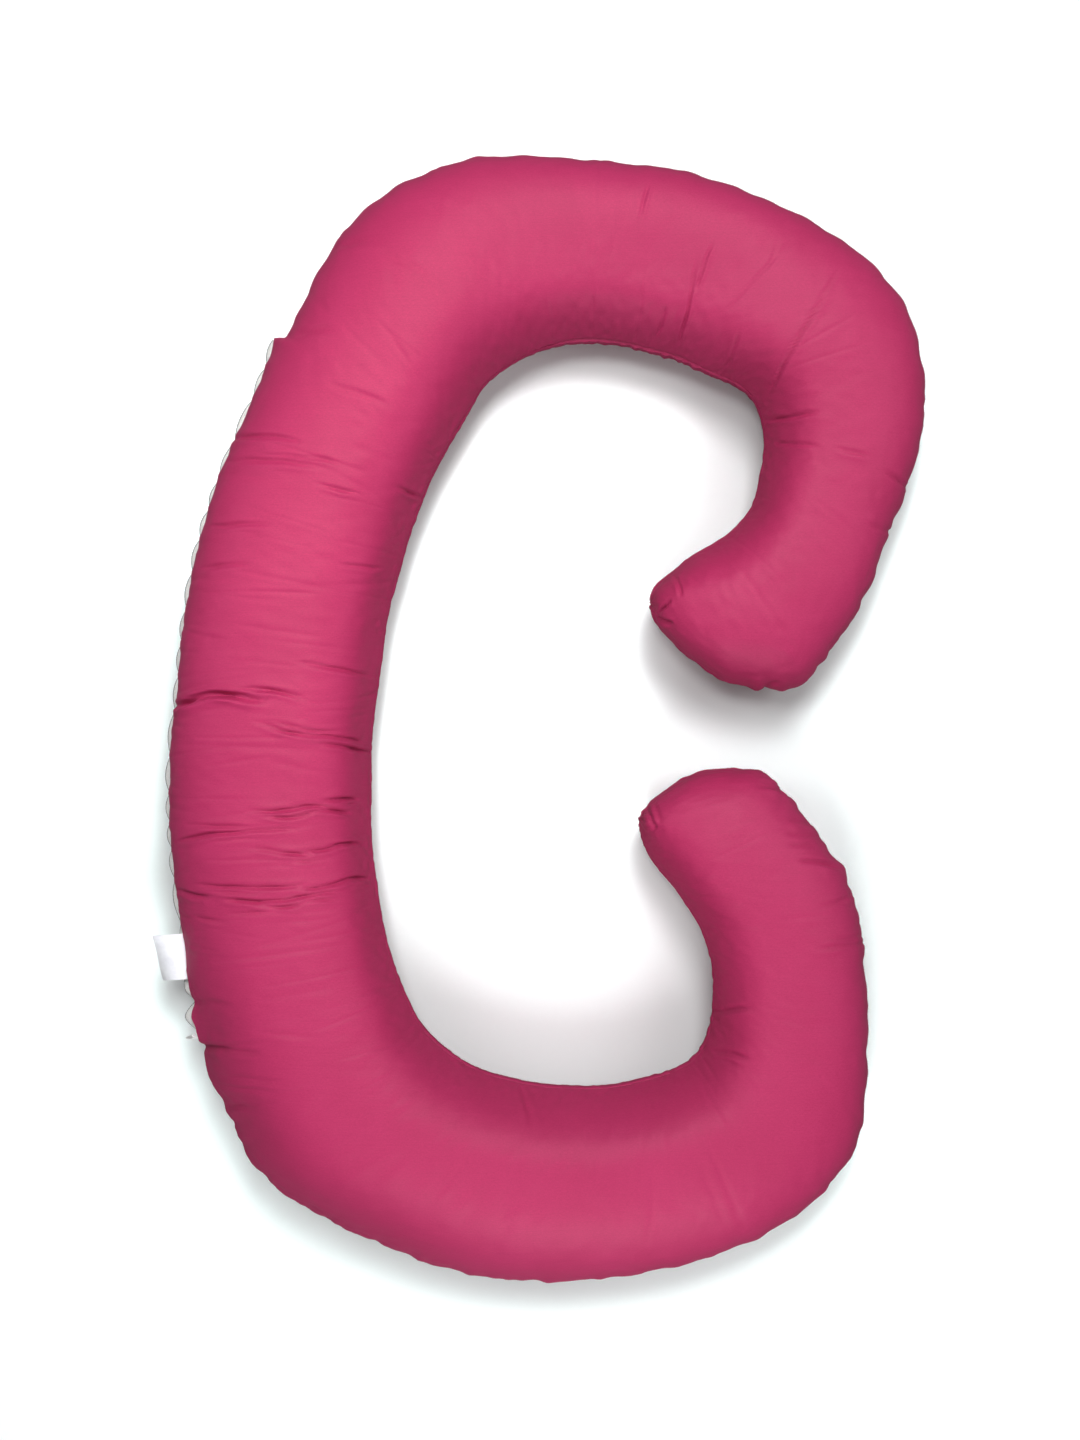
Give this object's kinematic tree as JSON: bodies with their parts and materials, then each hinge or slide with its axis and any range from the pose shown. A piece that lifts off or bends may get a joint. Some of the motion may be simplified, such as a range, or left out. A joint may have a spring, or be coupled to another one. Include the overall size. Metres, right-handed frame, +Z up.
{
  "type": "pregnancy pillow",
  "caption": "C-shaped stuffed body pillow lying flat, its shiny cover seamed round at mid height, with a white zip down the outside of its long back and a bare label beside the zip.",
  "frame": {"origin": "on the surface that the pillow lies on, under the middle of its box", "axes": "+Y runs up the long back of the C, +X points from the back to the C's open side, +Z is up"},
  "size_m": [0.958, 1.3933, 0.1907],
  "materials": {
    "cover": "raspberry pink plain-dyed sateen weave with a soft shine",
    "zip_tape": "white woven polyester tape",
    "zip_coil": "white semi-gloss nylon",
    "label": "white satin ribbon, bare"
  },
  "bodies": {
    "root": {"pillow": "cover", "zip_tape_upper": "zip_tape", "zip_tape_lower": "zip_tape", "zip_chain": "zip_coil", "zip_slider": "zip_coil", "zip_pull": "zip_coil", "care_label": "label"}
  },
  "joints": []
}
